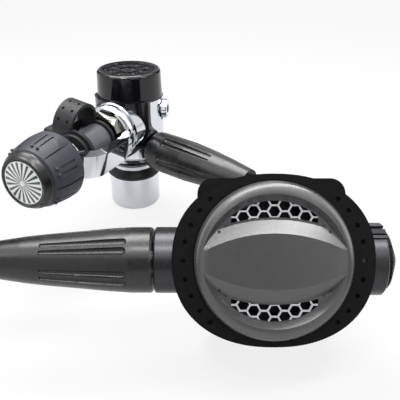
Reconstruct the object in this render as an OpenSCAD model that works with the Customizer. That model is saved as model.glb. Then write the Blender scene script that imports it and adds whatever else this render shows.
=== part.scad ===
// Open-circuit scuba regulator set: a yoke-mounted first stage, its
// low-pressure hose, and a second stage that lies face up on its mouthpiece.
// The origin is the middle of the first stage's foot, on the table.
// +X runs to the right along the second stage's hose, +Y to the back, +Z up.

/* [First stage] */
// Diameter of the brass barrel
barrel_d = 45.2; // [44:0.2:48]
// Height of the table-side cap
cap_h = 25; // [22:0.5:28]
// Diameter of the table-side cap
cap_d = 35.4; // [33:0.2:37]
// Height of the rubber bumper ring
bumper_h = 5.5; // [4.5:0.5:6.5]
// Widest diameter of the bumper ring
bumper_d = 38; // [36:0.5:42]
// Height where the black cover meets the barrel
cover_z = 81.5; // [80:0.5:84]
// Height of the whole first stage
stage_h = 100; // [98:0.5:106]
// Diameter of the cover at its top edge
cover_top_d = 42.8; // [41:0.2:44]
// Bore of the piston chamber
chamber_d = 28; // [24:0.5:30]

/* [Yoke] */
// Height of the yoke's axis above the table
yoke_z = 64; // [60:0.5:66]
// Compass direction of the yoke, counter-clockwise from +X
yoke_heading = 244.5; // [235:0.5:255]
// Turn of the yoke about its own axis
yoke_roll = 80; // [70:1:90]
// Distance of the yoke's seat from the barrel's axis
yoke_seat = 24.4; // [24:0.2:26]
// Inner length of the clamp opening
opening_l = 41; // [38:0.5:46]
// Inner width of the clamp opening
opening_w = 32; // [30:0.5:36]
// Thickness of each arm, measured outwards
arm_t = 6; // [5:0.5:8]
// Width of each arm
arm_w = 14.5; // [12:0.5:16]
// Diameter of the yoke screw
screw_d = 12; // [10:0.5:13]
// How far the screw can be backed off
screw_travel = 6; // [4:0.5:6.5]
// Diameter of the knob at its back
knob_d = 41.6; // [38:0.2:43]
// Diameter of the knob at its front rim
knob_front_d = 34.4; // [32:0.2:36]
// Length of the knob
knob_l = 31; // [28:0.5:34]
// Diameter of the knob's face disc
badge_d = 26; // [24:0.5:27]

/* [Dust cap] */
// Diameter of the plug that covers the inlet
plug_d = 21; // [20.5:0.5:24]
// Diameter of the disc that the screw presses on
disc_d = 25; // [24:0.5:28]
// Thickness of that disc
disc_t = 5; // [3:0.5:6]
// Thickness of the rubber sleeve on the left arm
sleeve_t = 1.6; // [1.2:0.1:2]
// Length of that sleeve
sleeve_l = 28; // [24:0.5:30]

/* [Hose] */
// Outside diameter of the hose
hose_d = 10.6; // [10:0.2:11.4]
// Height of the low-pressure port
port_z = 47; // [45:0.5:48]
// Compass direction of the low-pressure port
port_heading = -40; // [-44:0.5:-36]
// Length of each hose protector
boot_l = 78; // [74:0.5:80]

/* [Second stage] */
// How far the face leans back from upright
lean = 28; // [26:0.5:30]
// Height of the middle of the cover's face above the table
face_z = 64.4; // [63:0.1:66]
// Diameter of the purge cover
purge_d = 70; // [68:0.2:70.4]
// Width of the oval bezel
bezel_w = 89.4; // [88:0.2:94]
// Height of the oval bezel
bezel_h = 76.1; // [75:0.2:80]
// Depth of the air-hose axis behind the face
inlet_depth = 22.5; // [22:0.5:24]
// Diameter of the collar on the hose side
collar_d = 30.6; // [30:0.2:31.4]
// Diameter of the collar on the knob side
knob_collar_d = 32.6; // [31:0.2:33]
// Travel of the purge cover
purge_travel = 2.2; // [1.5:0.1:2.4]
// Wall of the moulded case
case_wall = 2.2; // [1.8:0.1:2.6]
// Depth of the recesses in the cover
recess_depth = 3.2; // [2:0.1:3.2]
// Side length of one honeycomb cell
cell_side = 3; // [2.6:0.1:3.4]
// Width of the walls between cells
cell_wall = 0.75; // [0.5:0.05:0.8]
// Distance of the mouthpiece's bite flange behind the face
flange_depth = 84; // [82:0.5:86]

/* [Hidden] */
$fn = 64;
eps = 0.01;
fit = 0.05;        // radial gap of parts that seat in each other
run = 0.06;        // radial gap of shafts that turn or slide
rest_gap = 0.3;    // gap of a moving part at its seat

// ---- derived sizes of the first stage
barrel_r = barrel_d / 2;
ring_top = cap_h + bumper_h;
neck_r = cap_d / 2 - 2.1;
spigot_r = barrel_r - 2.1;              // the barrel's top, inside the cover
chamber_z = 50;                         // floor of the piston chamber
chamber_top = stage_h - 8;
head_t = 4.5;                           // piston head
piston_z = chamber_top - 6 - rest_gap - head_t;
piston_travel = 1.2;
boss_r = 19.4;                          // round boss that carries the yoke
saddle_r = 20.9;                        // outside of the cover's collar round the boss
saddle_t = 1.3;
dome_r = 18.4;                           // yoke's domed end on the boss
retainer_hex = 27;
nose_r = 9.5;
nose_end = yoke_seat + 17.6;
hex_start = yoke_seat + 7;
hex_end = nose_end - 4;
opening_start = yoke_seat + 6.6;
opening_end = opening_start + opening_l;
bridge_end = opening_end + 9;
arm_out = opening_w / 2 + arm_t;
shank_r = 8.9;
inlet_r = 2.5;
knob_start = bridge_end + 0.8;
knob_end = knob_start + knob_l;
disc_end = opening_end - 3;
disc_start = disc_end - disc_t;
tip_start = disc_end + rest_gap;
plug_start = hex_end + 1;
band_r = disc_d / 2 + 1.8;               // rubber band round the dust cap's disc
band_start = disc_start - 0.2;
tip_l = 3;
tip_r = 4.8;
lobes = 6;
port_face = barrel_r - 0.9;             // flat seat cut for each port
port_r = 4.76;
plug_shank = 7;
// heading and height of each blanked port
plug_ports = [[-8, 73], [62, 64], [112, 47], [142, 68]];
boot_start = 24;
boot_r = 13.3;
fitting_r = 7;

// ---- derived sizes of the second stage
stage2_pos = [80.3, -178, face_z];
inlet_u = -1.4;                          // hose axis, above the middle of the face
collar_r = collar_d / 2;
knob_collar_r = knob_collar_d / 2;
purge_r = purge_d / 2;
purge_gap = 0.35;
bezel_front = -5;
bezel_back = -14;
seat_w = -11;                            // depth where the bezel clamps the inner parts
case_front = -13.1;
case_r = purge_r + 1.4;
case_mid = -24;
case_back = -44;
case_back_r = 20;
barrel2_r = 7;
collar_out = 53.2;
collar_in = 38;
knob_collar_out = 51.2;
tube_root = 30;                          // where the case's side tubes start, inside its wall
barrel_reach = 40;                       // barrel's end on the knob side
boot2_start = -collar_out - 0.8;
plate_z = -12.6;                         // underside of the diaphragm's plate
lever_x = 8;                             // lever's pivot on the air-hose axis
lever_z = -17.6;
lever_l = 18;
lever_angle = 14;
poppet_travel = 0.5;
adjust_x = 26;                           // inner end of the adjusting screw
adjust_l = 5.6;                          // length of the effort knob
tee_u = -34;
tee_w = -46;
tee_reach = 12;                          // from the case's cone to the tee's middle
port_u = -3;                             // mouthpiece port, above the middle
port2_r = 13;
port2_end = -58;
flange_u = -8;
flange_t = 3;

// Height of a point of the second stage's own frame above the table
function above_table(u, w) = face_z + u * cos(lean) + w * sin(lean);
tee_r = above_table(tee_u, tee_w);       // the tee's round belly rests on the table
flange_half = flange_half_h();
function flange_half_h() = flange_u + above_table(0, -flange_depth - flange_t) / cos(lean);

// ---- places
module along_yoke() {
    translate([0, 0, yoke_z]) rotate([0, 0, yoke_heading]) rotate([0, 90, 0]) children();
}
module yoke_frame() {
    along_yoke() rotate([0, 0, yoke_roll]) children();
}
module at_port(heading, height) {
    translate([0, 0, height]) rotate([0, 0, heading]) rotate([0, 90, 0]) children();
}
module second_stage() {
    translate(stage2_pos) rotate([90 - lean, 0, 0]) children();
}
// Along +X of the second stage, through the hose's axis
module along_inlet(x) {
    translate([x, inlet_u, -inlet_depth]) rotate([0, 90, 0]) children();
}

// ---- shapes
function arc(c, r, a0, a1, n) = [for (i = [0:n]) c + r * [cos(a0 + (a1 - a0) * i / n), sin(a0 + (a1 - a0) * i / n)]];
module ring(r_out, r_in, h) {
    difference() {
        cylinder(r = r_out, h = h);
        translate([0, 0, -1]) cylinder(r = r_in, h = h + 2);
    }
}
module rounded_rect(size, r) {
    square([size[0] - 2 * r, size[1]], center = true);
    square([size[0], size[1] - 2 * r], center = true);
    for (sx = [-1, 1], sy = [-1, 1])
        translate([sx * (size[0] / 2 - r), sy * (size[1] / 2 - r)]) circle(r = r);
}
module stadium(w, h) {
    square([w - h, h], center = true);
    for (s = [-1, 1]) translate([s * (w - h) / 2, 0]) circle(d = h);
}
module hexagon(af, h) { cylinder(r = af / sqrt(3), h = h, $fn = 6); }
module torus(r, section) { rotate_extrude() translate([r, 0]) circle(r = section, $fn = 24); }
// A round-wire compression spring along +Z, with its ends on z = 0 and z = h
module spring(r, wire, h, turns) {
    sides = 6;
    steps = 14;
    n = turns * steps;
    pts = [for (i = [0:n]) let (a = 360 * i / steps, z = wire / 2 + (h - wire) * i / n)
        for (k = [0:sides - 1]) let (b = 360 * k / sides, q = r + wire / 2 * cos(b))
            [q * cos(a), q * sin(a), z + wire / 2 * sin(b)]];
    polyhedron(points = pts, faces = concat([for (i = [0:n - 1]) for (k = [0:sides - 1])
        let (a = i * sides + k, b = i * sides + (k + 1) % sides, c = b + sides, d = a + sides)
        each [[a, c, b], [a, d, c]]],
        [for (k = [1:sides - 2]) [0, k, k + 1]],
        [for (k = [1:sides - 2]) [n * sides, n * sides + k + 1, n * sides + k]]));
}

// ======================= first stage =======================

module first_stage_body() {
    color("silver") difference() {
        union() {
            rotate_extrude($fn = 96) polygon(concat(
                [[0, cap_h - 8], [neck_r - 1.6, cap_h - 8], [neck_r - 1.6, cap_h], [neck_r, cap_h],
                 [neck_r, ring_top + 0.2]],
                // the flare swings out from the neck to the barrel
                [for (p = arc([neck_r + 9, ring_top + 0.2], 9, 180, 120, 6)) [min(p[0], barrel_r - 2), p[1]]],
                [[barrel_r - 2.4, ring_top + 10.5], [barrel_r, ring_top + 12.6], [barrel_r, cover_z],
                 [spigot_r, cover_z], [spigot_r, chamber_top], [0, chamber_top]]));
            along_yoke() cylinder(r = boss_r, h = yoke_seat);
        }
        // piston chamber
        translate([0, 0, chamber_z]) cylinder(d = chamber_d, h = 60);
        // high-pressure seat pocket under the piston
        translate([0, 0, chamber_z - 9]) cylinder(r = 5, h = 10);
        // inlet for the retainer's thread, then the drilling to the chamber
        along_yoke() translate([0, 0, yoke_seat - 9]) cylinder(r = shank_r + fit, h = 12);
        along_yoke() cylinder(r = inlet_r, h = yoke_seat);
        // hose port and the four blanked ports
        at_port(port_heading, port_z) translate([0, 0, 12]) cylinder(r = port_r, h = 20);
        at_port(port_heading, port_z) translate([0, 0, port_face]) cylinder(r = 9, h = 6);
        for (p = plug_ports) at_port(p[0], p[1]) {
            translate([0, 0, port_face - 8]) cylinder(r = port_r, h = 20);
            translate([0, 0, port_face]) cylinder(r = 7.6, h = 6);
        }
    }
}

module inner_cap() {
    color("goldenrod") translate([0, 0, chamber_top]) difference() {
        union() {
            cylinder(r = spigot_r, h = 2.4);
            translate([0, 0, -6]) cylinder(d = chamber_d - 2 * fit, h = 7);
        }
        translate([0, 0, -7]) cylinder(r = 8, h = 5);
        for (a = [0, 180]) rotate(a) translate([12, 0, 0.6]) cylinder(r = 1.5, h = 3);
    }
}

module top_cover() {
    top_r = cover_top_d / 2;
    low_r = barrel_r - 0.6;
    color("#1c1d20") difference() {
        union() {
            rotate_extrude($fn = 96) polygon(concat(
                [[0, cover_z + fit], [low_r, cover_z + fit]],
                arc([top_r - 2, stage_h - 2], 2, 0, 90, 6),
                [[top_r - 4, stage_h - 0.4], [top_r - 4.4, stage_h - 1.6], [0, stage_h - 1.6]]));
            // collar that wraps the barrel round the yoke's boss
            intersection() {
                translate([0, 0, port_z - 4]) ring(barrel_r + saddle_t, barrel_r - 2, cover_z - port_z + 4 + 1.5);
                along_yoke() linear_extrude(40) {
                    circle(r = saddle_r);
                    translate([-(cover_z - yoke_z + 2), -saddle_r]) square([cover_z - yoke_z + 2, 2 * saddle_r]);
                }
            }
        }
        translate([0, 0, cover_z - 1]) cylinder(r = spigot_r + fit, h = chamber_top + 2.5 - cover_z + 1);
        along_yoke() cylinder(r = boss_r + fit, h = 60);
        translate([0, 0, cover_z - 40]) cylinder(r = barrel_r + fit, h = 40 + fit);
    }
}

module top_cover_disc() {
    r = cover_top_d / 2 - 4.8;
    color("#202226") translate([0, 0, stage_h - 1.6]) {
        cylinder(r = r, h = 0.5);
        translate([0, 0, 0.5]) ring(r, r - 1.2, 0.4);
        translate([0, 0, 0.5]) ring(r * 0.42, r * 0.42 - 1, 0.5);
        for (i = [0:7]) rotate(45 * i) translate([r * 0.5, -0.6, 0.5]) cube([r * 0.36, 1.2, 0.5]);
    }
}

module lower_cap() {
    r = cap_d / 2;
    color("gainsboro") difference() {
        rotate_extrude($fn = 96) polygon(concat(
            [[0, 0], [r - 4.5, 0]], arc([r - 4.5, 4.5], 4.5, -90, 0, 8),
            [[r, cap_h - 0.8], [r - 0.8, cap_h], [0, cap_h]]));
        translate([0, 0, cap_h - 8 - fit]) cylinder(r = neck_r - 1.6 + fit, h = 20);
    }
}

module bumper_ring() {
    r = bumper_d / 2;
    color("#141416") rotate_extrude($fn = 96) polygon([[neck_r + fit, cap_h + fit], [r - 0.8, cap_h + fit],
        [r, cap_h + 0.9], [r, cap_h + 1.9], [neck_r + 1.1, ring_top], [neck_r + fit, ring_top]]);
}

module piston() {
    r = chamber_d / 2 - run;
    color("silver") difference() {
        union() {
            translate([0, 0, piston_z]) cylinder(r = r, h = head_t);
            translate([0, 0, chamber_z - 1]) cylinder(r = 3.6, h = piston_z - chamber_z + 1);
        }
        // passage up the stem
        translate([0, 0, chamber_z - 2]) cylinder(r = 1.4, h = piston_z + head_t - chamber_z + 4);
        // groove for the O-ring
        translate([0, 0, piston_z + 1.6]) ring(r + 1, r - 1.5, 1.6);
    }
}
module piston_oring() {
    color("black") translate([0, 0, piston_z + 2.4]) torus(chamber_d / 2 - 0.82, 0.68);
}
module piston_spring() {
    color("gray") translate([0, 0, chamber_z]) spring(8.2, 2.4, piston_z - chamber_z, 6);
}
module valve_seat() {
    color("ivory") translate([0, 0, chamber_z - 9]) difference() {
        cylinder(r = 5 - fit, h = 8 - piston_travel - 0.1);
        translate([0, 0, 8 - piston_travel - 0.9]) ring(3.9, 3.3, 2);
    }
}

module port_plugs() {
    color("gainsboro") for (p = plug_ports) at_port(p[0], p[1]) translate([0, 0, port_face]) difference() {
        union() {
            translate([0, 0, 1]) cylinder(r = 6.6, h = 2.8);
            translate([0, 0, 1.9]) cylinder(r1 = 6.6, r2 = 6, h = 2.5);
            translate([0, 0, -plug_shank]) cylinder(r = port_r - fit, h = plug_shank + 2);
        }
        translate([0, 0, 2]) hexagon(5.5, 5);
    }
}
module port_orings() {
    color("black") for (p = plug_ports) at_port(p[0], p[1])
        translate([0, 0, port_face + 0.5]) ring(6.3, port_r + fit, 0.45);
}

// ======================= yoke =======================

module yoke_outline(grow) {
    len = bridge_end - yoke_seat - 2;
    translate([yoke_seat + 2 + len / 2, 0])
        rounded_rect([len + 2 * grow, 2 * (arm_out + grow)], 18 + grow);
}
module opening_outline(grow) {
    translate([(opening_start + opening_end) / 2, 0])
        rounded_rect([opening_l + 2 * grow, opening_w + 2 * grow], 11 + grow);
}
// An outline drawn along the yoke's axis and across its arms, given a width
module in_arm_plane(width) {
    rotate([90, 0, 0]) translate([0, 0, -width / 2]) rotate([0, 0, 90]) linear_extrude(width)
        children();
}
module yoke() {
    color("gainsboro") yoke_frame() difference() {
        union() {
            intersection() {
                in_arm_plane(arm_w) difference() {
                    yoke_outline(0);
                    opening_outline(0);
                }
                cylinder(r = arm_out + 0.9, h = 2 * bridge_end);
            }
            // domed end that seats on the body
            rotate_extrude() polygon(concat([[0, yoke_seat + fit], [dome_r - 0.4, yoke_seat + fit]],
                arc([dome_r - 4.2, yoke_seat + 2.4], 4.2, 0, 90, 6), [[0, opening_start]]));
            // threaded boss for the screw
            translate([0, 0, opening_end + 1]) cylinder(r = screw_d / 2 + 4.5, h = 8);
        }
        translate([0, 0, yoke_seat - 1]) cylinder(r = shank_r + fit, h = 12);
        // spot face under the retainer's hexagon
        translate([0, 0, opening_start]) cylinder(r = opening_w / 2 - 0.1, h = 11);
        translate([0, 0, opening_end - 4]) cylinder(r = screw_d / 2 + run, h = 20);
    }
}
module yoke_retainer() {
    color("gainsboro") yoke_frame() difference() {
        union() {
            translate([0, 0, yoke_seat - 8.6]) cylinder(r = shank_r, h = hex_start - yoke_seat + 9);
            translate([0, 0, hex_start]) intersection() {
                hexagon(retainer_hex, hex_end - hex_start);
                translate([0, 0, -8]) cylinder(r1 = 21, r2 = 14.2, h = hex_end - hex_start + 8 + eps);
            }
            translate([0, 0, hex_end]) cylinder(r = nose_r, h = nose_end - hex_end);
        }
        translate([0, 0, 2]) cylinder(r = inlet_r + 0.4, h = 60);
        translate([0, 0, nose_end - 6]) cylinder(r = 5, h = 8);
        // groove round the sealing face
        translate([0, 0, nose_end - 0.8]) ring(8.2, 6.6, 2);
    }
}
module inlet_filter() {
    color("peru") yoke_frame() translate([0, 0, nose_end - 6]) {
        cylinder(r = 5 - fit, h = 2.4);
        translate([0, 0, 2.4]) cylinder(r1 = 4, r2 = 3, h = 1.6);
    }
}
module filter_clip() {
    color("silver") yoke_frame() translate([0, 0, nose_end - 3.5]) ring(5 - fit, 4.05, 0.8);
}
module yoke_sleeve() {
    color("#26282b") yoke_frame() difference() {
        intersection() {
            in_arm_plane(arm_w + 2 * sleeve_t) difference() {
                yoke_outline(sleeve_t);
                opening_outline(-sleeve_t);
            }
            cylinder(r = arm_out + 0.9 + sleeve_t, h = 2 * bridge_end);
            translate([-60, -20, opening_start + 7]) cube([60 - 9.5, 40, sleeve_l]);
        }
        intersection() {
            in_arm_plane(arm_w + 2 * fit) difference() {
                yoke_outline(fit);
                opening_outline(-fit);
            }
            cylinder(r = arm_out + 0.9 + fit, h = 2 * bridge_end);
        }
        // room for the dust cap's band and the hexagon
        translate([0, 0, band_start - 0.5]) cylinder(r = band_r + 0.4, h = 20);
        translate([0, 0, hex_start]) cylinder(r = retainer_hex / sqrt(3) + 0.3, h = hex_end - hex_start + 0.3);
    }
}
module dust_cap_plug() {
    color("#6f7276") yoke_frame() difference() {
        translate([0, 0, plug_start]) cylinder(r = plug_d / 2, h = disc_start - plug_start);
        translate([0, 0, hex_end]) cylinder(r = nose_r + fit, h = nose_end - hex_end + fit);
    }
}
module dust_cap_disc() {
    color("#17181a") yoke_frame() difference() {
        translate([0, 0, disc_start]) rotate_extrude() polygon(concat([[0, 0], [disc_d / 2 - 1, 0]],
            arc([disc_d / 2 - 1, 1], 1, -90, 0, 4), arc([disc_d / 2 - 1, disc_t - 1], 1, 0, 90, 4), [[0, disc_t]]));
        translate([0, 0, disc_end - 0.6]) cylinder(r = 6.5, h = 2);
    }
}
// Rubber strap: a band round each end of the dust cap, joined by a broad
// dimpled arch that stands over the left arm
strap_in = 3.5;                          // near and far edge of the arch, from the axis
strap_out = 16.5;
strap_t = 2.2;
strap_low = 12.5;                        // where the arch's round top begins, above the axis
strap_end = band_start + 2.8;
module arch_outline(inset) {
    half = (strap_end - plug_start) / 2 - inset;
    translate([strap_low, (strap_end + plug_start) / 2]) circle(r = half);
    translate([5, (strap_end + plug_start) / 2 - half]) square([strap_low - 5, 2 * half]);
}
module dust_cap_strap() {
    mid = (strap_end + plug_start) / 2;
    half = (strap_end - plug_start) / 2;
    color("#26282b") yoke_frame() difference() {
        union() {
            translate([0, 0, plug_start + 0.1]) ring(plug_d / 2 + 1.8, plug_d / 2 + fit, 2.4);
            translate([0, 0, band_start]) ring(band_r, disc_d / 2 + fit, strap_end - band_start - 0.1);
            // drawn upwards from the axis and along it, and as broad as the strap
            intersection() {
                translate([-strap_out, 0, 0]) rotate([90, 0, 90]) linear_extrude(strap_out - strap_in) difference() {
                    arch_outline(0);
                    arch_outline(strap_t);
                }
                union() {
                    translate([-40, arm_w / 2 + sleeve_t + 0.4, 0]) cube([80, 40, 100]);
                    translate([-12, 0, 0]) cube([40, 40, 100]);
                }
            }
        }
        cylinder(r = plug_d / 2 + fit, h = disc_start + 1);
        translate([0, 0, disc_start - 0.1]) cylinder(r = disc_d / 2 + fit, h = 20);
        // two rows of blind dimples on the arch
        for (a = [24, 54, 84, 114, 144], v = [6.8, 13.2])
            translate([-v, strap_low, mid]) rotate([-a, 0, 0]) translate([0, 0, half - 0.9])
                cylinder(r = 0.95, h = 3, $fn = 16);
    }
}
module screw_tip() {
    color("goldenrod") yoke_frame() translate([0, 0, tip_start]) {
        translate([0, 0, 1]) cylinder(r = tip_r, h = tip_l - 1);
        cylinder(r1 = tip_r - 1, r2 = tip_r, h = 1);
        translate([0, 0, tip_l]) cylinder(r = 2.2, h = 3);
    }
}
module yoke_screw() {
    start = tip_start + tip_l + 0.1;
    color("silver") yoke_frame() difference() {
        translate([0, 0, start]) cylinder(r = screw_d / 2, h = knob_end - 9 - start);
        translate([0, 0, start - 1]) cylinder(r = 2.2 + run, h = 4.4);
    }
}

rim_l = 5.6;                             // depth of the rim in front of the grip
// One ratchet-shaped turn of the grip: each lobe swells, then steps back
function grip_outline(r, step) = [for (i = [0:lobes - 1]) for (k = [0:8])
    let (a = 360 / lobes * (i + k / 8 * 0.995), q = r - step * (1 - sin(90 * min(1, k / 5 + 0.15))) - (k == 8 ? 0.25 : 0))
    q * [cos(a), sin(a)]];
module yoke_knob() {
    r = knob_d / 2;
    rf = knob_front_d / 2;
    color("#3a3c42") yoke_frame() translate([0, 0, knob_start]) difference() {
        union() {
            intersection() {
                rotate_extrude($fn = 96) polygon([[0, 0], [r - 4, 0], [r - 1.2, 1.6], [r, 4], [r - 0.2, 9],
                    [r - 0.9, 15], [r - 2, 21], [rf + 0.3, knob_l - rim_l - 0.8], [rf - 0.8, knob_l - rim_l], [0, knob_l - rim_l]]);
                translate([0, 0, -1]) linear_extrude(knob_l + 2) polygon(grip_outline(r + 0.1, 1.1));
            }
            // two raised dots in front of the short grooves
            for (i = [0:lobes - 1], s = [24, 35]) rotate(360 / lobes * i + s) translate([r - 2, 0, 21.5])
                sphere(r = 1, $fn = 24);
        }
        // long groove beside each step, and two short finger grooves on each lobe
        for (i = [0:lobes - 1]) rotate(360 / lobes * i) {
            translate([r - 0.6, 0, 3]) rotate([0, -7.5, 0]) translate([0, -0.5, 0]) cube([3, 1, knob_l - rim_l - 4]);
            for (s = [24, 35]) rotate(s) translate([r - 1, -0.5, 8]) rotate([0, -6, 0]) cube([3, 1, 11.5]);
        }
        translate([0, 0, -1]) cylinder(r = screw_d / 2 + fit, h = knob_l - 9 + 1);
        translate([0, 0, knob_l - rim_l - 0.6]) cylinder(r = badge_d / 2 + 0.4, h = 9);
    }
}
module knob_rim() {
    rf = knob_front_d / 2;
    rb = badge_d / 2 + 0.15;
    color("#101113") yoke_frame() translate([0, 0, knob_end]) rotate_extrude($fn = 96) polygon(
        [[rb, -rim_l + fit], [rf - 0.9, -rim_l + fit], [rf - 0.1, -rim_l + 0.8], [rf - 0.2, -rim_l + 1.8],
         [rf - 0.8, -2.6], [rf - 1.7, -1.2], [rb + 1.9, -0.3], [rb + 1.1, 0], [rb, -0.6]]);
}
module knob_badge() {
    rb = badge_d / 2;
    color("#d9dcd8") yoke_frame() translate([0, 0, knob_end - rim_l - 0.5]) rotate_extrude($fn = 96) polygon(
        concat([[0, 0], [rb, 0], [rb, rim_l]], [for (k = [1:6]) [rb * (1 - k / 6), rim_l + 0.9 * (1 - pow(1 - k / 6, 2))]]));
}

// ======================= hose =======================

// Moulded hose protector, 0 at its wide end: radius along its length
boot_profile = [[0, 12.2], [1.2, 13], [4, 13.3], [30, 13.2], [48, 12], [62, 10.4], [74, 8.6], [78, 8]];
boot2_profile = [[0, 14.6], [1, 15.2], [10, 15.2], [20, 14.6], [34, 13.3], [49, 12], [60, 10.8], [72, 9], [78, 8]];
flute_r = 1.8;
module boot(profile) {
    last = len(profile) - 1;
    scale_l = boot_l / profile[last][0];
    flute_start = 13 * scale_l;
    flute_l = 38 * scale_l;
    flute_top = lookup(13, profile);
    flute_low = lookup(51, profile);
    difference() {
        rotate_extrude() polygon(concat([[0, 0]], [for (p = profile) [p[1], p[0] * scale_l]], [[0, boot_l]]));
        // socket over the crimped fitting
        translate([0, 0, -1]) cylinder(r = fitting_r + 0.3, h = 25);
        // pairs of tear-drop flutes that let the sleeve bend
        for (i = [0:5], s = [-1, 1]) rotate(60 * i + 30 + 8.7 * s) translate([flute_top + 0.3, 0, flute_start])
            rotate([0, -atan((flute_top - flute_low) / flute_l), 0]) {
                cylinder(r1 = flute_r, r2 = flute_r * 0.55, h = flute_l, $fn = 20);
                sphere(r = flute_r, $fn = 20);
            }
    }
}
module hose_fitting() {
    color("silver") at_port(port_heading, port_z) {
        translate([0, 0, port_face - 7]) cylinder(r = port_r - fit, h = 9);
        translate([0, 0, port_face]) cylinder(r = 6.4, h = 1.6);
        translate([0, 0, port_face + 1.6]) hexagon(11.9, 6);
        translate([0, 0, boot_start + 3]) cylinder(r = fitting_r, h = 20);
    }
}
module hose_boot_first() {
    color("#222326") at_port(port_heading, port_z) translate([0, 0, boot_start]) boot(boot_profile);
}
module hose_boot_second() {
    color("#26272a") second_stage() along_inlet(boot2_start) rotate([180, 0, 0]) boot(boot2_profile);
}
module inlet_nut() {
    color("silver") second_stage() along_inlet(boot2_start - 0.4) rotate([180, 0, 0]) difference() {
        union() {
            hexagon(11.9, 7);
            translate([0, 0, 6]) cylinder(r = fitting_r, h = 17);
        }
        translate([0, 0, -1]) cylinder(r = 5, h = 5.6);
    }
}

// The free hose, from the first protector's end to the second one's.
// It drops to the table in one turn, passes under the first protector,
// runs left, and climbs back in a wide bend.
hose_path = [[78, -65.5, 47], [90.5, -75.5, 46.4], [103.5, -81, 43], [117.5, -81.5, 37], [130.5, -76.5, 30], [140.5, -66, 23],
    [146, -52.5, 16.5], [146.5, -38, 11], [142, -24.5, 7.5], [133, -13, 5.7], [120.5, -5.5, 5.3], [106, -2.5, 5.3],
    [91.5, -5, 5.3], [79, -12.5, 5.3], [69.5, -24, 5.3], [63, -37, 5.3], [56.5, -50.5, 5.3], [48, -63, 5.3],
    [37, -73.5, 5.3], [24, -81.5, 5.3], [9, -86, 5.3], [-8, -87, 5.3], [-31, -87, 5.3], [-54, -87, 5.3],
    [-74, -87, 5.5], [-90.5, -89, 6.7], [-103.5, -95.5, 10.8], [-113, -105, 17], [-118.5, -116.5, 25], [-118.5, -129, 33],
    [-113, -141, 41], [-103.5, -150.5, 47], [-90.5, -156.5, 51.2], [-76.5, -158.8, 52.5], [-64, -158.8, 52.6], [-52, -158.8, 52.6]];
hose_sides = 10;
hose_steps = 2;
function spline_point(a, b, c, d, t) = (pow(1 - t, 3) * a + (3 * pow(t, 3) - 6 * t * t + 4) * b
    + (-3 * pow(t, 3) + 3 * t * t + 3 * t + 1) * c + pow(t, 3) * d) / 6;
// Smooth curve that leaves the first point and meets the last one straight
function smooth_path(p, m) = let (n = len(p), q = concat([2 * p[0] - p[1]], p, [2 * p[n - 1] - p[n - 2]]))
    concat([for (i = [0:n - 2]) for (j = [0:m - 1]) spline_point(q[i], q[i + 1], q[i + 2], q[i + 3], j / m)], [p[n - 1]]);
function unit(v) = v / norm(v);
// Hose ends moved onto the protectors' ends
function port_point(r) = [r * cos(port_heading), r * sin(port_heading), port_z];
function inlet_point(x) = stage2_pos + [x, inlet_u * sin(lean) + inlet_depth * cos(lean),
    inlet_u * cos(lean) - inlet_depth * sin(lean)];
module hose() {
    n0 = len(hose_path);
    route = concat([port_point(boot_start + boot_l)], [for (i = [1:n0 - 2]) hose_path[i]], [inlet_point(boot2_start - boot_l)]);
    path = smooth_path(route, hose_steps);
    n = len(path);
    start_dir = [cos(port_heading), sin(port_heading), 0];
    dirs = [for (i = [0:n - 1]) i == 0 ? start_dir : i == n - 1 ? [1, 0, 0] : unit(path[i + 1] - path[i - 1])];
    pts = [for (i = [0:n - 1]) let (t = dirs[i], side = unit(cross([0, 0, 1], t)), up = cross(t, side))
        for (k = [0:hose_sides - 1]) let (a = 360 * (k + 0.5) / hose_sides)
            path[i] + hose_d / 2 * (cos(a) * side + sin(a) * up)];
    s = hose_sides;
    color("#1d1e20") polyhedron(points = pts, faces = concat(
        [[for (k = [0:s - 1]) k]], [[for (k = [s - 1:-1:0]) (n - 1) * s + k]],
        [for (i = [0:n - 2]) for (k = [0:s - 1]) let (a = i * s + k, b = i * s + (k + 1) % s)
            each [[a, a + s, b + s], [a, b + s, b]]]));
}

// ======================= second stage =======================

function superellipse(a, b, p, n) = [for (i = [0:n - 1]) let (t = 360 * i / n, c = cos(t), s = sin(t))
    [a * sign(c) * pow(abs(c), 2 / p), b * sign(s) * pow(abs(s), 2 / p)]];
module bezel_outline(inset) {
    polygon(superellipse(bezel_w / 2 - inset, bezel_h / 2 - inset, 2.25, 96));
}
module collar_cuts(extra) {
    along_inlet(-70) cylinder(r = collar_r + extra, h = 70 - 33);
    along_inlet(33) cylinder(r = knob_collar_r + extra, h = 40);
}
module bezel() {
    color("#161617") second_stage() difference() {
        union() {
            translate([0, 0, bezel_back]) linear_extrude(bezel_front - bezel_back - 0.9) bezel_outline(0);
            translate([0, 0, bezel_front - 0.9 - eps]) linear_extrude(0.9 + eps) bezel_outline(0.8);
        }
        translate([0, 0, seat_w - 1]) cylinder(r = purge_r + purge_gap, h = 20);
        translate([0, 0, bezel_back - 1]) cylinder(r = case_r + fit, h = seat_w - bezel_back + 1);
        collar_cuts(0.15);
        // blind dimples along both side bands
        for (s = [0, 180], a = [-44, -34, -23, -12, 0, 12, 23, 34, 44]) rotate(s + a)
            translate([39.7 - 0.0009 * a * a * 0.6, 0, bezel_front - 0.9 - 0.7]) cylinder(r = 1.1, h = 3, $fn = 20);
    }
}

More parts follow.
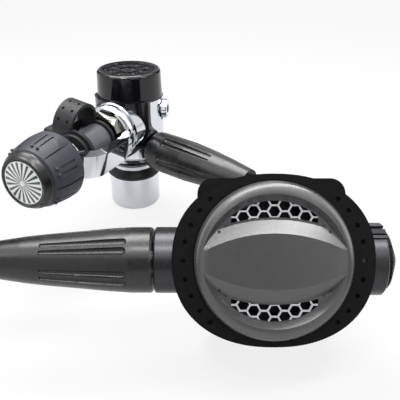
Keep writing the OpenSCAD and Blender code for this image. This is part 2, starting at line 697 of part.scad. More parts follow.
// Places of the arcs that bound the two crescents, above the middle of the face
lens_peak = 11.7;
lens_half = 31.2;
lens_tip = 3.6;
function sagitta_r(half, sag) = (half * half + sag * sag) / (2 * sag);
lens_r = sagitta_r(lens_half, lens_peak - lens_tip);
rim_u = -3.4;
rim_r = 32.5;
window_r = 29.6;
window_low = 18.9;
window_low_r = 71.7;
window_half = 18.9;
module crescent_recess() {
    difference() {
        translate([0, rim_u, -recess_depth]) cylinder(r1 = rim_r - 2.4, r2 = rim_r + 0.02, h = recess_depth + 0.02, $fn = 96);
        // the bevel rises from the window's lower edge to the lens-shaped panel
        translate([0, lens_peak - lens_r, -recess_depth - 0.1])
            cylinder(r1 = lens_r + 6.4, r2 = lens_r, h = recess_depth + 0.3, $fn = 160);
        translate([-50, -100 + lens_tip - 1, -10]) cube([100, 100, 20]);
    }
}
module window_outline() {
    intersection() {
        difference() {
            translate([0, rim_u]) circle(r = window_r, $fn = 96);
            translate([0, window_low - window_low_r]) circle(r = window_low_r, $fn = 160);
        }
        translate([-window_half, 10]) square([2 * window_half, 30]);
    }
}
module purge_cover() {
    r = purge_r;
    color("#5c5c61") second_stage() difference() {
        rotate_extrude($fn = 128) polygon([[0, 0], [r - 5.4, -0.1], [r - 3, -0.5], [r - 1.2, -1.5], [r - 0.3, -2.8], [r, -4],
            [r, -8], [r - 1.6, -8], [r - 1.6, -4.6], [6, -4.6], [6, plate_z + 1.2], [0, plate_z + 1.2]]);
        for (m = [0, 1]) mirror([0, m, 0]) {
            crescent_recess();
            translate([0, 0, -9]) linear_extrude(12) window_outline();
            for (s = [-1, 1], p = [[24, 12.6], [21.3, 15.1]])
                translate([s * p[0], p[1], -recess_depth - 0.6]) cylinder(r = 0.6, h = 3, $fn = 16);
        }
    }
}
// Honeycomb panels that close the two windows
module cover_grille() {
    pitch_x = 1.5 * cell_side;
    pitch_y = sqrt(3) * cell_side;
    hole = (pitch_y - cell_wall) / sqrt(3);
    color("#b9babd") second_stage() for (m = [0, 1]) mirror([0, m, 0])
        translate([0, 0, -4.4]) linear_extrude(1) difference() {
            intersection() {
                difference() {
                    translate([0, rim_u]) circle(r = window_r - fit, $fn = 96);
                    translate([0, window_low - window_low_r]) circle(r = window_low_r + fit, $fn = 160);
                }
                translate([-window_half + fit, 10]) square([2 * (window_half - fit), 30]);
            }
            for (i = [-4:4], j = [-1:2])
                translate([i * pitch_x, 21.6 + (j - (i % 2 == 0 ? 0 : 0.5)) * pitch_y]) circle(r = hole, $fn = 6);
        }
}
module diaphragm_cover() {
    color("#0e0e0f") second_stage() difference() {
        union() {
            translate([0, 0, -8]) cylinder(r = purge_r - 3.2, h = 0.8);
            translate([0, 0, seat_w - 0.2]) ring(purge_r - 3.2, purge_r - 5, 3.3);
            translate([0, 0, seat_w - 1.5]) ring(case_r - fit, purge_r - 5, 1.5 - fit);
        }
        translate([0, 0, -20]) cylinder(r = 6.6, h = 30);
        for (k = [0:9]) rotate(36 * k) translate([14, 0, -20]) cylinder(r = 2.6, h = 30);
        for (k = [0:15]) rotate(22.5 * k) translate([22.5, 0, -20]) cylinder(r = 2.6, h = 30);
    }
}
module diaphragm() {
    color("#c9c6bd") second_stage() translate([0, 0, case_front + fit]) difference() {
        rotate_extrude($fn = 96) polygon([[12.4, 0], [24, 0], [26, -1.2], [28, -1.2], [30, 0], [case_r - fit, 0],
            [case_r - fit, 0.5], [30, 0.5], [28, -0.6], [26, -0.6], [24, 0.5], [12.4, 0.5]]);
    }
}
module diaphragm_plate() {
    color("silver") second_stage() translate([0, 0, plate_z]) difference() {
        cylinder(r = 12, h = 1 - fit);
        for (k = [0:5]) rotate(60 * k + 30) translate([9, 0, -1]) cylinder(r = 1.2, h = 3);
    }
}

// Cone-backed shell, its outside drawn with inset 0 and its inside with the wall
module case_form(inset) {
    rotate_extrude($fn = 96) polygon([[0, case_front + (inset > 0 ? 5 : 0)], [case_r - inset, case_front + (inset > 0 ? 5 : 0)],
        [case_r - inset, case_mid], [case_back_r + 0.3 - inset * 0.6, case_back + inset], [0, case_back + inset]]);
}
module second_case() {
    color("#19191b") second_stage() difference() {
        union() {
            case_form(0);
            // squared shoulders above the bezel
            translate([0, 0, -31]) linear_extrude(31 - 14.2) translate([0, 20]) rounded_rect([67, 32.6], 7);
            // tubes that carry the collars
            along_inlet(-collar_out) cylinder(r = collar_r - 1.3, h = collar_out - tube_root);
            along_inlet(tube_root) cylinder(r = knob_collar_r - 1.3, h = knob_collar_out - tube_root);
            // mouthpiece port
            translate([0, port_u, port2_end]) cylinder(r = port2_r, h = case_back - port2_end + 2);
            exhaust_axis() translate([0, 0, -3]) cylinder(r = 8.4, h = 6);
        }
        case_form(case_wall);
        // room for the parts that the bezel clamps
        translate([0, 0, case_front]) cylinder(r = case_r + 0.1, h = 30);
        translate([0, port_u, port2_end - 1]) cylinder(r = port2_r - 2.2, h = 30);
        along_inlet(-90) cylinder(r = barrel2_r + fit, h = 180);
        exhaust_axis() translate([0, 0, -6]) cylinder(r = 6.6, h = 30);
    }
}
// From the case's cone towards the middle of the exhaust tee
slope = atan2(case_mid - case_back, case_r - case_back_r);
module exhaust_axis() {
    reach = tee_reach;
    dir_u = -sin(slope);
    dir_w = -cos(slope);
    translate([0, tee_u - dir_u * reach, tee_w - dir_w * reach]) rotate([90 + atan2(-dir_w, -dir_u) - 0, 0, 0])
        children();
}
module exhaust_valve() {
    color("#d8d2c4") second_stage() exhaust_axis() {
        translate([0, 0, 3 + fit]) cylinder(r = 7.4, h = 0.6);
    }
}
module tee_form(inset) {
    translate([0, tee_u, tee_w]) {
        sphere(r = tee_r - inset);
        for (s = [0, 1]) mirror([s, 0, 0]) rotate([0, 0, 9]) rotate([0, 90, 0]) {
            cylinder(r1 = tee_r - inset - 1.4, r2 = 8.4 - inset, h = 31 + (inset > 0 ? 1 : 0));
        }
    }
}
module exhaust_tee() {
    color("#1b1b1d") second_stage() difference() {
        union() {
            tee_form(0);
            exhaust_axis() translate([0, 0, 0.5]) cylinder(r = 10.2, h = 6);
        }
        tee_form(1.7);
        exhaust_axis() translate([0, 0, -5]) cylinder(r = 8.4 + fit, h = 5 + 3 + fit);
        exhaust_axis() cylinder(r = 7.8, h = 14);
    }
}

tube_w = 41;                             // outside of the mouthpiece's flat tube
tube_h = 26;
tube_wall = 3;
tube_u = -5;
module mouthpiece() {
    depth_end = -flange_depth;
    color("#202124") second_stage() difference() {
        union() {
            translate([0, port_u, port2_end + 0.5]) cylinder(r = port2_r + 2.2, h = 9);
            translate([0, tube_u, depth_end - 1]) linear_extrude(flange_depth + port2_end + 3) stadium(tube_w, tube_h);
            // bite flange
            translate([0, flange_u, depth_end - flange_t]) linear_extrude(flange_t) stadium(60, 2 * flange_half);
            // bite tabs
            for (s = [-1, 1]) translate([s * 19, -5, depth_end - flange_t - 6]) {
                translate([-4.5, -5.5, 0]) cube([9, 11, 6.5]);
                translate([-4.5, -7.5, 0]) cube([9, 15, 1.8]);
            }
        }
        translate([0, port_u, port2_end]) cylinder(r = port2_r + fit, h = 20);
        translate([0, tube_u, depth_end - 20]) linear_extrude(flange_depth + port2_end + 21)
            stadium(tube_w - 2 * tube_wall, tube_h - 2 * tube_wall);
    }
}
module mouthpiece_tie() {
    color("#0f0f10") second_stage() translate([0, port_u, port2_end + 3.5]) {
        ring(port2_r + 3.3, port2_r + 2.2 + fit, 3.2);
        translate([-2.5, port2_r + 3, -0.4]) cube([5, 3, 4]);
    }
}

module valve_barrel() {
    color("silver") second_stage() difference() {
        union() {
            along_inlet(-collar_out + 0.2) cylinder(r = barrel2_r, h = collar_out + barrel_reach);
            along_inlet(-58) cylinder(r = 5 - run, h = 6);
        }
        along_inlet(-59) cylinder(r = 2.2, h = 30);
        along_inlet(-26) cylinder(r = 5, h = 80);
        // open top for the lever, and a slot for its pivot
        translate([-13, inlet_u - 10, -inlet_depth + 4.4]) cube([24, 20, 10]);
        translate([lever_x - 3, inlet_u - 3.1, -inlet_depth]) cube([6, 6.2, 10]);
    }
}
module orifice() {
    color("goldenrod") second_stage() along_inlet(-26) ring(5 - fit, 2, 4);
}
module poppet() {
    color("ivory") second_stage() difference() {
        union() {
            along_inlet(-21.8) cylinder(r = 3.4, h = 3);
            along_inlet(-19) cylinder(r = 5 - run, h = 4);
            along_inlet(-15.2) cylinder(r = 2, h = 27);
            // collar that the lever's feet push
            along_inlet(lever_x + 0.7) cylinder(r = 4.2, h = 1.5);
        }
        along_inlet(-22.4) ring(4, 2.2, 0.8);
    }
}
module poppet_spring() {
    color("gray") second_stage() along_inlet(lever_x + 2.2) spring(3.2, 1, adjust_x - poppet_travel - rest_gap - lever_x - 2.2, 6);
}
module demand_lever() {
    color("silver") second_stage() translate([lever_x, inlet_u, lever_z]) {
        rotate([90, 0, 0]) translate([0, 0, -2.9]) cylinder(r = 0.7, h = 5.8, $fn = 24);
        rotate([0, lever_angle, 0]) {
            translate([-lever_l + 3, -1.6, -0.35]) cube([lever_l - 2.6, 3.2, 0.7]);
            translate([-lever_l, -3.6, -0.35]) cube([3.4, 7.2, 0.7]);
        }
        for (s = [-1, 1]) translate([-0.5, s * 2.55 - 0.35, -4]) cube([1, 0.7, 4]);
    }
}

module inlet_collar() {
    color("#77777b") second_stage() along_inlet(-collar_out) difference() {
        rotate_extrude() polygon([[collar_r - 1.3 + fit, 0], [collar_r - 0.8, 0], [collar_r, 0.8],
            [collar_r, collar_out - collar_in], [collar_r - 1.3 + fit, collar_out - collar_in]]);
    }
}
module knob_collar() {
    l = knob_collar_out - collar_in;
    color("#77777b") second_stage() {
        along_inlet(collar_in) rotate_extrude() polygon([[knob_collar_r - 1.3 + fit, 0], [knob_collar_r, 0],
            [knob_collar_r, l - 0.6], [knob_collar_r - 0.6, l], [knob_collar_r - 1.3 + fit, l]]);
        // ridged thumb pad on the top and front
        for (p = [[101, 6.2], [125.5, 3.2], [137, 1.6]]) along_inlet(44) rotate([0, 0, p[0]])
            translate([knob_collar_r - 0.4, -p[1] / 2, 0]) cube([1.1, p[1], knob_collar_out - 44]);
    }
}
module adjust_screw() {
    color("silver") second_stage() {
        along_inlet(adjust_x) cylinder(r = 5 - run, h = 8);
        along_inlet(adjust_x + 7) cylinder(r = 4, h = knob_collar_out - adjust_x - 7 + 0.2);
    }
}
module adjust_knob() {
    r = knob_collar_r - 2.6;
    color("#141415") second_stage() along_inlet(knob_collar_out + 0.2) difference() {
        rotate_extrude() polygon([[0, 0], [r - 0.4, 0], [r, 0.6], [r, 1.6], [r - 0.9, 2.4], [5.4, adjust_l], [0, adjust_l]]);
        translate([0, 0, adjust_l - 0.9]) cylinder(r = 4.4, h = 2);
        for (k = [0:11]) rotate(30 * k) translate([r, 0, -1]) cylinder(r = 0.8, h = 4, $fn = 16);
    }
}
module adjust_tip() {
    color("#8e8f92") second_stage() along_inlet(knob_collar_out + 0.2 + adjust_l - 0.9 + fit)
        rotate_extrude() polygon([[0, 0], [4.3, 0], [4.3, 0.9], [3.7, 1.5], [0, 1.7]]);
}

first_stage_body();
inner_cap();
top_cover();
top_cover_disc();
lower_cap();
bumper_ring();
piston();
piston_spring();
piston_oring();
valve_seat();
port_plugs();
port_orings();
yoke();
yoke_retainer();
inlet_filter();
filter_clip();
yoke_sleeve();
dust_cap_plug();
dust_cap_disc();
dust_cap_strap();
screw_tip();
yoke_screw();
yoke_knob();
knob_rim();
knob_badge();
hose_fitting();
hose_boot_first();
hose();
hose_boot_second();
inlet_nut();
second_case();
bezel();
purge_cover();
cover_grille();
diaphragm_cover();
diaphragm();
diaphragm_plate();
demand_lever();
valve_barrel();
orifice();
poppet();
poppet_spring();
inlet_collar();
knob_collar();
adjust_screw();
adjust_knob();
adjust_tip();
exhaust_tee();
exhaust_valve();
mouthpiece();
mouthpiece_tie();
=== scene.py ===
# %% [markdown]
# # A scuba regulator set, dressed in Blender
#
# The set has two metal-and-plastic machines and a hose between them. The
# first stage is a chromed brass valve that a yoke clamps to a cylinder. The
# second stage is the part that a diver breathes from. All the hard pieces
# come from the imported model, already at their real size and in their real
# places. Blender's work here is to give each one the finish that it has in
# the hand, and to make the flexible hose.

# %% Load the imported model
import math

import bmesh
import bpy
from mathutils import Matrix, Vector


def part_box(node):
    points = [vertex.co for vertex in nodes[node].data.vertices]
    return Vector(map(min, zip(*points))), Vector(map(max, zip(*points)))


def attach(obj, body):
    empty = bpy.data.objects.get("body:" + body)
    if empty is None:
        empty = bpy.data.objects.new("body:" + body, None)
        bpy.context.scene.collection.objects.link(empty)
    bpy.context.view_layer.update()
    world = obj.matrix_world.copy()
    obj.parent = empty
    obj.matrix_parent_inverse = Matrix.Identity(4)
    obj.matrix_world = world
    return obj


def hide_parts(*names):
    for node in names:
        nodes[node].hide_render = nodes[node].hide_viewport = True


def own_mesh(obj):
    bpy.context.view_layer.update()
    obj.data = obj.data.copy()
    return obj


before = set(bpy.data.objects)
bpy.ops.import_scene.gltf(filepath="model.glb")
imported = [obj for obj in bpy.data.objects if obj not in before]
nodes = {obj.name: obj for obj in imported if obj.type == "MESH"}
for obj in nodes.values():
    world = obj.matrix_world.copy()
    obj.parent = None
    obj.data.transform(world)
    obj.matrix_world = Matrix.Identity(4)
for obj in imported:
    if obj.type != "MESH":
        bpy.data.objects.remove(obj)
scene = bpy.context.scene
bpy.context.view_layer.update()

# %% [markdown]
# ## The camera
#
# The camera looks down on the set by 28 degrees, which is also how far the
# second stage leans back, so its round cover faces the lens squarely. An
# orthographic camera would keep every circle round but lose the depth
# between the two stages. A lens a little longer than normal, as for a
# catalogue, keeps both.

# %% Camera
MM = 0.001
LOOK_DOWN_DEG = 28
TILT = math.radians(90 - LOOK_DOWN_DEG)
LENS_MM, SENSOR_MM = 51.75, 36
EYE_MM = (48, -382.5, 203.1)
camera = bpy.data.objects.new("camera", bpy.data.cameras.new("camera"))
scene.collection.objects.link(camera)
camera.data.lens = LENS_MM
camera.data.sensor_width = SENSOR_MM
camera.location = Vector(EYE_MM) * MM
camera.rotation_euler = (TILT, 0, 0)
scene.camera = camera
print("camera at", tuple(round(v, 3) for v in camera.location))

# %% [markdown]
# ## The frames that the pieces are drawn in
#
# The yoke points away from the first stage's barrel at its own heading, and
# the second stage leans back. Both have their own axes in the drawing. An
# Empty could carry such axes, but an export drops the link from a material
# to an Empty. These two matrices turn a point of the drawing into a point of
# the scene instead, so that a pattern or a rib can be placed by the
# drawing's numbers.

# %% Frames of the yoke and of the second stage
YOKE_Z_MM = 64
YOKE_HEADING, YOKE_ROLL, QUARTER_TURN = math.radians(244.5), math.radians(80), math.radians(90)
COVER_CENTRE_MM = (80.3, -178, 64.4)
KNOB_END = 113.2 * MM
yoke_frame = (Matrix.Translation((0, 0, YOKE_Z_MM * MM))
              @ Matrix.Rotation(YOKE_HEADING, 4, "Z")
              @ Matrix.Rotation(QUARTER_TURN, 4, "Y")
              @ Matrix.Rotation(YOKE_ROLL, 4, "Z"))
face_frame = (Matrix.Translation(Vector(COVER_CENTRE_MM) * MM)
              @ Matrix.Rotation(TILT, 4, "X"))
print("knob's end at", (yoke_frame @ Vector((0, 0, KNOB_END))).to_tuple(3))

# %% [markdown]
# ## The hose
#
# A low-pressure hose is a black rubber tube, 10.6 mm across, that holds its
# length but bends freely down to about four times its width. It leaves the
# first protector straight, drops to the table in one loop, runs along the
# table, and climbs back to the second stage in a half turn. It could be
# swept as a mesh, but a Blender curve with a round bevel stays easy to
# change: the curve is the route, and the bevel is the rubber. The control
# points are those of the drawing, and a uniform B-spline over them follows
# the same curve as the drawing's.

# %% Hose route
# The first protector ends 102 mm out from the barrel's axis, at the height
# and heading of its port. The second one starts at the inlet, which is given
# in the second stage's own axes, and reaches 78 mm to the left.
HOSE_MM = 10.6
PORT_HEADING, PORT_Z_MM = math.radians(-40), 47
FIRST_END_MM = 102
INLET_MM = (-54, -1.4, -22.5)
PROTECTOR_MM = (78, 0, 0)
STEPS = 5
ROUTE_MM = [
    (90.5, -75.5, 46.4), (103.5, -81, 43), (117.5, -81.5, 37), (130.5, -76.5, 30), (140.5, -66, 23),
    (146, -52.5, 16.5), (146.5, -38, 11), (142, -24.5, 7.5), (133, -13, 5.7), (120.5, -5.5, 5.3),
    (106, -2.5, 5.3), (91.5, -5, 5.3), (79, -12.5, 5.3), (69.5, -24, 5.3), (63, -37, 5.3),
    (56.5, -50.5, 5.3), (48, -63, 5.3), (37, -73.5, 5.3), (24, -81.5, 5.3), (9, -86, 5.3),
    (-8, -87, 5.3), (-31, -87, 5.3), (-54, -87, 5.3), (-74, -87, 5.5), (-90.5, -89, 6.7),
    (-103.5, -95.5, 10.8), (-113, -105, 17), (-118.5, -116.5, 25), (-118.5, -129, 33),
    (-113, -141, 41), (-103.5, -150.5, 47), (-90.5, -156.5, 51.2), (-76.5, -158.8, 52.5),
    (-64, -158.8, 52.6)]
port_x, port_y = math.cos(PORT_HEADING), math.sin(PORT_HEADING)
start = Vector((FIRST_END_MM * port_x, FIRST_END_MM * port_y, PORT_Z_MM)) * MM
end = face_frame @ ((Vector(INLET_MM) - Vector(PROTECTOR_MM)) * MM)


def b_spline(points, steps):
    """Points along a uniform cubic B-spline that starts and ends straight."""
    p = [2 * points[0] - points[1], *points, 2 * points[-1] - points[-2]]
    out = []
    for a, b, c, d in zip(p, p[1:], p[2:], p[3:]):
        for k in range(steps):
            t = k / steps
            out.append(((1 - t) ** 3 * a + (3 * t ** 3 - 6 * t * t + 4) * b
                        + (-3 * t ** 3 + 3 * t * t + 3 * t + 1) * c + t ** 3 * d) / 6)
    return out + [points[-1]]


route = b_spline([start, *(Vector(p) * MM for p in ROUTE_MM), end], STEPS)

# %% Hose curve
# Each point carries the hose's radius and the bevel is 1 m deep, which gives
# the same tube as the other way round. Blender measures a curve's box by its
# points' radius, so this way round the box is the real one.
ROUNDNESS = 8
line = bpy.data.curves.new("hose", "CURVE")
line.dimensions = "3D"
line.bevel_depth = 1.0
line.bevel_resolution = ROUNDNESS
line.use_fill_caps = True
spline = line.splines.new("POLY")
spline.points.add(len(route) - 1)
for knot, p in zip(spline.points, route):
    knot.co = (*p, 1)
    knot.radius = HOSE_MM / 2 * MM
spline.use_smooth = True
free_hose = bpy.data.objects.new("free_hose", line)
scene.collection.objects.link(free_hose)
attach(free_hose, "first_stage_and_hose")
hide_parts("hose")
print("hose curve:", len(spline.points), "points")

# %% [markdown]
# ## Colours and helpers for materials
#
# Colours are written as people read them, as sRGB hex values, and one
# function turns them into the linear values that the renderer mixes with.
# Another small function adds a shader node together with its settings and
# links, so that a material reads as a short list. The patterns could be
# painted images, but worked-out noise needs no file and no seams, and its
# scale can be given as a real size.

# %% Colour and node helpers


def linear(hex_colour, alpha=1.0):
    """An sRGB hex value as linear RGBA."""
    parts = [int(hex_colour[i:i + 2], 16) / 255 for i in (1, 3, 5)]
    return (*(v / 12.92 if v <= 0.04045 else ((v + 0.055) / 1.055) ** 2.4 for v in parts), alpha)


def add(tree, kind, inputs=None, **settings):
    """Adds one node. An input's value is a number, a colour or another node's output."""
    made = tree.nodes.new(kind)
    for name, value in settings.items():
        setattr(made, name, value)
    for name, value in (inputs or {}).items():
        if isinstance(value, bpy.types.NodeSocket):
            tree.links.new(value, made.inputs[name])
        else:
            made.inputs[name].default_value = value
    return made


def new_material(name):
    """A material with its tree emptied, the tree (t below) and its Object coordinates (at)."""
    made = bpy.data.materials.new(name)
    made.use_nodes = True
    tree = made.node_tree
    tree.nodes.clear()
    print("material:", name)
    return made, tree, add(tree, "ShaderNodeTexCoord").outputs["Object"]


def surface(tree, inputs, bump=None, strength=0.2, depth=0.05 * MM):
    """Ends a material in a Principled shader, with a bump where a height is given."""
    if bump is not None:
        raised = add(tree, "ShaderNodeBump", {"Height": bump, "Strength": strength, "Distance": depth})
        inputs["Normal"] = raised.outputs["Normal"]
    shader = add(tree, "ShaderNodeBsdfPrincipled", inputs)
    add(tree, "ShaderNodeOutputMaterial", {"Surface": shader.outputs["BSDF"]})


print("a hex grey of #808080 mixes as", round(linear("#808080")[0], 3))

# %% Patterns with a real size
# Object coordinates are in metres, so a noise with a scale of 1000 has about
# one patch in each millimetre. Most of its values lie between 0.3 and 0.7.
# The sockets of a Mix node for colours share their names with those for
# numbers, so they go by their place.
PER_METRE = 1000
NOISE_LOW, NOISE_HIGH = 0.3, 0.7
COLOUR_A, COLOUR_B, MIXED = 6, 7, 2


def wander(tree, place, size_mm, low, high):
    """A patchy value between low and high, with patches of a real size."""
    noise = add(tree, "ShaderNodeTexNoise", {"Vector": place, "Scale": PER_METRE / size_mm, "Detail": 3})
    span = {"Value": noise.outputs["Fac"], "From Min": NOISE_LOW, "From Max": NOISE_HIGH,
            "To Min": low, "To Max": high}
    return add(tree, "ShaderNodeMapRange", span).outputs["Result"]


def two_tone(tree, place, size_mm, a, b):
    """Two close colours mixed in patches of a real size."""
    noise = add(tree, "ShaderNodeTexNoise", {"Vector": place, "Scale": PER_METRE / size_mm, "Detail": 4})
    pair = {"Factor": noise.outputs["Fac"], COLOUR_A: linear(a), COLOUR_B: linear(b)}
    return add(tree, "ShaderNodeMix", pair, data_type="RGBA").outputs[MIXED]


def worn_finish(name, tones, rough, grain, more):
    """A material whose colour and roughness wander, with a fine raised grain.

    tones is (patch in mm, colour, colour), rough is (patch in mm, low, high)
    or one number, grain is (patch in mm, strength), and more is the rest.
    """
    made, tree, place = new_material(name)
    roughness = wander(tree, place, *rough) if isinstance(rough, tuple) else rough
    inputs = {"Base Color": two_tone(tree, place, *tones), "Roughness": roughness, **more}
    noise = add(tree, "ShaderNodeTexNoise", {"Vector": place, "Scale": PER_METRE / grain[0], "Detail": 2})
    surface(tree, inputs, bump=noise.outputs["Fac"], strength=grain[1])
    return made


print("patches of 2 mm have a noise scale of", PER_METRE / 2)

# %% [markdown]
# ## Metals
#
# The barrel, cap and yoke are brass under nickel and hard chrome. Chromium
# mirrors about two thirds of the light with a cold tint, and handling leaves
# a few softer patches, so the roughness wanders a little around 0.05. A
# painted room could be wrapped on as a fake mirror, but a Principled shader
# with Metallic at 1 mirrors the real scene from every side. A metal's
# colour in Blender is what it reflects straight on, which is why a chrome
# that is written as pure white looks like milk glass instead.

# %% Chrome plate, and nickel on the retainer
# Polished plating is a cold, nearly sharp mirror. Plain nickel is warmer than
# chrome, nearly olive beside it, and a little softer.
METAL = {"Metallic": 1.0}
chrome_plate = worn_finish("hard_chrome_on_brass", (14, "#cdd1d5", "#dadde0"), (9, 0.03, 0.08),
                           (6, 0.03), METAL)
warm_nickel = worn_finish("satin_nickel_on_brass", (5, "#7d7f72", "#92938a"), (3, 0.07, 0.13),
                          (1.2, 0.06), METAL)

# %% Bare brass and sintered bronze
# Brass that was cut and left bare is yellow, with soft and patchy highlights.
# The filter is small bronze balls pressed and baked together, so it is dull
# and grainy.
bare_brass = worn_finish("machined_brass", (4, "#b9975b", "#a88449"), (2, 0.22, 0.36), (0.5, 0.1), METAL)
sintered_bronze = worn_finish("sintered_bronze", (0.6, "#9c7a4d", "#775a34"), 0.5, (0.4, 0.6), METAL)

# %% Turned steel
# Stainless steel from a lathe is an even grey with wide, soft highlights. Its
# tool marks are too fine to draw one by one, so a coarser unevenness of two
# thirds of a millimetre stands for them.
MARKS_PER_M = 1500
turned_steel, t, at = new_material("turned_stainless_steel")
marks = add(t, "ShaderNodeTexNoise", {"Vector": at, "Scale": MARKS_PER_M, "Detail": 1})
surface(t, {"Base Color": linear("#b8bbbe"), "Roughness": wander(t, at, 3, 0.2, 0.34), **METAL},
        bump=marks.outputs["Fac"], strength=0.15)

# %% Brushed collars
# Aluminium brushed round its axis: long streaks along the circle show as
# short bands along X, so the pattern is squeezed along X alone. Real streaks
# are finer, and these are drawn a ninth of a millimetre wide and about 4 mm
# long so that they show.
STREAKS_PER_M = (9000, 260, 260)
brushed_aluminium, t, at = new_material("brushed_dark_aluminium")
streaks = add(t, "ShaderNodeMapping", {"Vector": at, "Scale": STREAKS_PER_M})
lines = add(t, "ShaderNodeTexNoise", {"Vector": streaks.outputs["Vector"], "Scale": 1.0, "Detail": 3})
shade = add(t, "ShaderNodeMix", {"Factor": lines.outputs["Fac"], COLOUR_A: linear("#2f2f31"),
                                 COLOUR_B: linear("#49494c")}, data_type="RGBA")
rough = add(t, "ShaderNodeMapRange", {"Value": lines.outputs["Fac"], "From Min": NOISE_LOW,
                                      "From Max": NOISE_HIGH, "To Min": 0.26, "To Max": 0.38})
surface(t, {"Base Color": shade.outputs[MIXED], "Roughness": rough.outputs["Result"], **METAL},
        bump=lines.outputs["Fac"], strength=0.15)

# %% [markdown]
# ## The screw's thread
#
# The clamp screw has a rolled thread with a pitch of 2 mm. Its ridges are
# under a millimetre high and mostly sit inside the yoke's bridge and the
# knob. They could be modelled as a helix, but so little of them shows that
# they are a height in the material. A Mapping node turns each point into the
# yoke's axes, where Z runs along the screw, and one turn of the angle raises
# the pattern by one pitch. The ridges are drawn every two pitches, so that
# they show, which leaves a step where the angle starts again, on the side
# away from the camera. The effort knob's screw, which is out of sight, has
# the same steel, and the pattern doesn't follow its axis.

# %% Threaded steel
PITCH = 2 * MM
RIDGE_TURNS = 1.0  # a ridge rises over one turn and falls over the next
RIDGE_HEIGHT = 0.6 * MM


def round_the_yoke(tree, place):
    """A point's coordinates in the yoke's axes, and its angle round them."""
    moved = add(tree, "ShaderNodeMapping", {"Vector": place, "Location": yoke_frame.translation,
                                            "Rotation": yoke_frame.to_euler()}, vector_type="TEXTURE")
    xyz = add(tree, "ShaderNodeSeparateXYZ", {"Vector": moved.outputs["Vector"]}).outputs
    return xyz, add(tree, "ShaderNodeMath", {0: xyz["Y"], 1: xyz["X"]}, operation="ARCTAN2").outputs[0]


threaded_steel, t, at = new_material("rolled_thread_steel")
xyz, angle = round_the_yoke(t, at)
climb = add(t, "ShaderNodeMath", {0: xyz["Z"], 1: 1 / PITCH}, operation="MULTIPLY")
helix = add(t, "ShaderNodeMath", {0: angle, 1: 1 / math.tau, 2: climb.outputs[0]}, operation="MULTIPLY_ADD")
ridge = add(t, "ShaderNodeMath", {0: helix.outputs[0], 1: RIDGE_TURNS}, operation="PINGPONG")
surface(t, {"Base Color": linear("#a9acaf"), "Roughness": wander(t, at, 3, 0.24, 0.36), **METAL},
        bump=ridge.outputs[0], strength=0.9, depth=RIDGE_HEIGHT)

# %% [markdown]
# ## Plastics
#
# The case and bezel are glass-filled nylon: nearly black, with a fine matte
# grain from the mould, so little of the white room shows in them. The purge
# cover is ABS with a satin grey coat. The first stage's cover is the same
# kind of plastic left glossy, and it shows clean highlights at its rim. One
# flat colour each would do from far away. Close up, a plastic reads as real
# when its roughness and grain vary a little, so each has both.

# %% Black plastics
# Nylon from an eroded mould is matte. ABS from a polished mould is glossy.
# The hand knob's rim is the same ABS, dulled by fingers.
black_nylon = worn_finish("moulded_black_nylon", (5, "#080809", "#0e0e0f"), (2, 0.4, 0.54), (0.45, 0.35),
                          {"IOR": 1.53, "Specular IOR Level": 0.1})
gloss_black = worn_finish("gloss_black_abs", (12, "#0a0b0e", "#101116"), (6, 0.07, 0.13), (2.5, 0.03),
                          {"IOR": 1.54, "Specular IOR Level": 0.4})
worn_black = worn_finish("handled_black_abs", (8, "#0c0d10", "#141518"), (3, 0.24, 0.34), (0.8, 0.05),
                         {"IOR": 1.54, "Specular IOR Level": 0.45})

# %% Grey and pale plastics
# The cover's lacquer lies even and gives one broad, soft highlight. The
# grille behind it is paler, so it stands out against the black diaphragm. The
# dust cap's plug is polypropylene, a little waxy, and the valve seats are an
# ivory plastic with hardly any gloss.
satin_grey = worn_finish("satin_grey_coated_abs", (7, "#3d3d3e", "#434344"), (6, 0.25, 0.3), (6, 0.01),
                         {"IOR": 1.5, "Coat Weight": 0.6, "Coat Roughness": 0.22})
grille_grey = worn_finish("satin_light_grey_abs", (2, "#b4b4b9", "#c6c6ca"), (1, 0.32, 0.42), (0.4, 0.1),
                          {"IOR": 1.5})
plug_grey = worn_finish("moulded_grey_polypropylene", (3, "#55575c", "#686a6f"), (2, 0.3, 0.44), (0.6, 0.15),
                        {"IOR": 1.49})
seat_plastic = worn_finish("ivory_seat_plastic", (2, "#e3decb", "#ece8da"), 0.4, (0.5, 0.1), {})

# %% [markdown]
# ## Rubbers
#
# Hose and protectors are black synthetic rubber with a low sheen that the
# flutes catch as long streaks. The hand knob is a softer charcoal rubber
# over a hard core, with a light grain that scatters the light more evenly.
# The diaphragm is silicone, dyed black so that the grille reads as deep. A
# Sheen input could give rubber its bloom, but a plain mid roughness under a
# low specular level is closer to clean rubber.

# %% Hose rubber, ring rubber, knob rubber and silicone
# The hose's skin is smooth from its die. Rings and straps come matte from
# their mould, and dust keeps them so.
hose_rubber = worn_finish("extruded_black_rubber", (6, "#111112", "#191919"), (3, 0.24, 0.32), (0.5, 0.07),
                          {"IOR": 1.52, "Specular IOR Level": 0.45})
ring_rubber = worn_finish("moulded_matte_rubber", (4, "#151618", "#1f2022"), (2, 0.44, 0.58), (0.4, 0.25),
                          {"IOR": 1.52, "Specular IOR Level": 0.3})
knob_rubber = worn_finish("charcoal_soft_touch_rubber", (2, "#303238", "#3b3d45"), (1.5, 0.4, 0.54),
                          (0.35, 0.35), {"IOR": 1.5, "Specular IOR Level": 0.35})
silicone = worn_finish("black_silicone", (5, "#0c0c0d", "#151516"), (3, 0.3, 0.42), (0.6, 0.1),
                       {"Specular IOR Level": 0.2})

# %% [markdown]
# ## The knob's badge
#
# The end of the knob carries a white printed disc. Here it has a plain sun
# of radial marks in grey green and a thin border, and no words. It could be
# an image on a UV map, but simple marks stay sharper when they are worked
# out. The pattern follows the disc, so each point is first carried into the
# disc's own axes. The angle round the centre then makes the marks, and the
# distance from the centre limits them.

